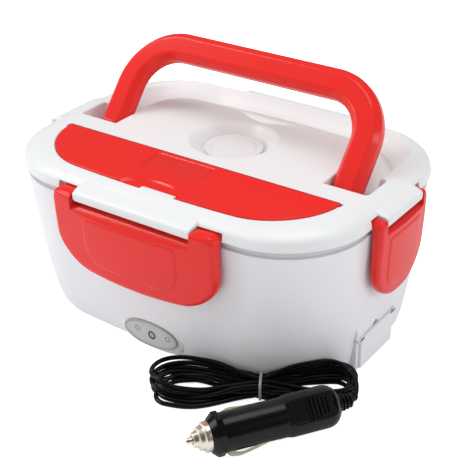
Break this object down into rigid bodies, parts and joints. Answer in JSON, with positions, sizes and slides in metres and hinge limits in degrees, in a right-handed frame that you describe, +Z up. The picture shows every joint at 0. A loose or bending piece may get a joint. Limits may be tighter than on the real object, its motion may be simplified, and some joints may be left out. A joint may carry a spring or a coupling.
{
  "type": "electric lunch box",
  "caption": "Electric lunch box with a tapered white base, lift-off lid, red swing latches, folding handle and spoon cover, and a coiled car lead with a lighter plug",
  "frame": {"origin": "centre of the box's footprint, on the ground under the rubber feet", "axes": "+Z up; +X along the box's length towards the side with the inlet flap; -Y towards the front with the spoon cover and the lamp badge"},
  "size_m": [0.2605, 0.2444, 0.1528],
  "materials": {
    "white_plastic": "glossy moulded polypropylene",
    "grey_plastic": "satin food-grade polypropylene",
    "red_plastic": "glossy moulded plastic",
    "black_plastic": "satin to glossy moulded plastic",
    "cord_rubber": "smooth PVC cord jacket",
    "wire_rubber": "silicone wire sleeve",
    "foot_rubber": "matt rubber",
    "seal_rubber": "translucent silicone",
    "badge_metal": "silver film, satin",
    "plate_aluminium": "die cast, sanded top",
    "heater_brass": "foil-wrapped heater block",
    "screw_steel": "zinc plated",
    "contact_nickel": "nickel plated, warm tone",
    "lens_plastic": "clear tinted lens",
    "tie_plastic": "flat twist tie"
  },
  "bodies": {
    "base": {"base_shell": "white_plastic", "bottom_cover": "white_plastic", "rubber_feet": "foot_rubber", "bottom_screws": "screw_steel", "well_liner": "grey_plastic", "heating_plate": "plate_aluminium", "ptc_heater": "heater_brass", "heater_clamp": "screw_steel", "clamp_screws": "screw_steel", "thermostat": "screw_steel", "heater_wires": "wire_rubber", "inlet_socket": "black_plastic", "inlet_pin": "contact_nickel", "flap_pins": "screw_steel", "indicator_badge": "badge_metal", "indicator_lens": "lens_plastic", "indicator_led": "lens_plastic", "plug_body": "black_plastic", "plug_nose": "contact_nickel", "tip_spring": "screw_steel", "plug_fuse": "badge_metal", "contact_upper": "contact_nickel", "contact_lower": "contact_nickel", "plug_boot": "cord_rubber", "lead_hank": "cord_rubber", "lead_tail_plug": "cord_rubber", "lead_tail_end": "cord_rubber", "twist_tie": "tie_plastic", "lead_connector": "black_plastic", "connector_boot": "cord_rubber"},
    "lid": {"lid_shell": "white_plastic", "lid_liner": "white_plastic", "lid_seal": "seal_rubber", "spoon": "red_plastic", "cover_pins": "screw_steel", "handle_pins": "screw_steel", "latch_pins": "screw_steel"},
    "food_container": {"food_container": "grey_plastic"},
    "inlet_flap": {"inlet_flap": "white_plastic"},
    "plug_tip": {"plug_tip": "contact_nickel"},
    "vent_cap": {"vent_cap": "white_plastic"},
    "spoon_cover": {"spoon_cover": "red_plastic"},
    "handle": {"handle": "red_plastic"},
    "latch_front": {"latch_front": "red_plastic"},
    "latch_back": {"latch_back": "red_plastic"},
    "latch_left": {"latch_left": "red_plastic"},
    "latch_right": {"latch_right": "red_plastic"}
  },
  "joints": [
    {"name": "lid_lift", "type": "slide", "parent": "base", "child": "lid", "axis": [0, 0, 1], "range_m": [0, 0.16]},
    {"name": "food_lift", "type": "slide", "parent": "base", "child": "food_container", "axis": [0, 0, 1], "range_m": [0, 0.08]},
    {"name": "flap_hinge", "type": "hinge", "parent": "base", "child": "inlet_flap", "pos_m": [0.11475, -0.009, 0.02175], "axis": [0, -1, 0], "range_deg": [0, 110]},
    {"name": "tip_press", "type": "slide", "parent": "base", "child": "plug_tip", "axis": [0.5577, 0.83, 0], "range_m": [0, 0.003], "stiffness_N_per_m": 600, "deforming": ["tip_spring"]},
    {"name": "vent_lift", "type": "slide", "parent": "lid", "child": "vent_cap", "axis": [0, 0, 1], "range_m": [0, 0.004]},
    {"name": "cover_hinge", "type": "hinge", "parent": "lid", "child": "spoon_cover", "pos_m": [0, -0.0298, 0.1045], "axis": [-1, 0, 0], "range_deg": [0, 95]},
    {"name": "handle_hinge", "type": "hinge", "parent": "lid", "child": "handle", "pos_m": [0, 0.0004, 0.099], "axis": [-1, 0, 0], "range_deg": [-55.4, 49.6]},
    {"name": "latch_front_hinge", "type": "hinge", "parent": "lid", "child": "latch_front", "pos_m": [0, -0.0874, 0.0972], "axis": [-1, 0, 0], "range_deg": [0, 90]},
    {"name": "latch_back_hinge", "type": "hinge", "parent": "lid", "child": "latch_back", "pos_m": [0, 0.0874, 0.0972], "axis": [1, 0, 0], "range_deg": [0, 90]},
    {"name": "latch_left_hinge", "type": "hinge", "parent": "lid", "child": "latch_left", "pos_m": [-0.11969, 0, 0.0972], "axis": [0, 1, 0], "range_deg": [0, 90]},
    {"name": "latch_right_hinge", "type": "hinge", "parent": "lid", "child": "latch_right", "pos_m": [0.11969, 0, 0.0972], "axis": [0, -1, 0], "range_deg": [0, 90]}
  ],
  "couplings": [
    {"joint": "food_lift", "follows": "lid_lift", "ratio": 0.5}
  ]
}
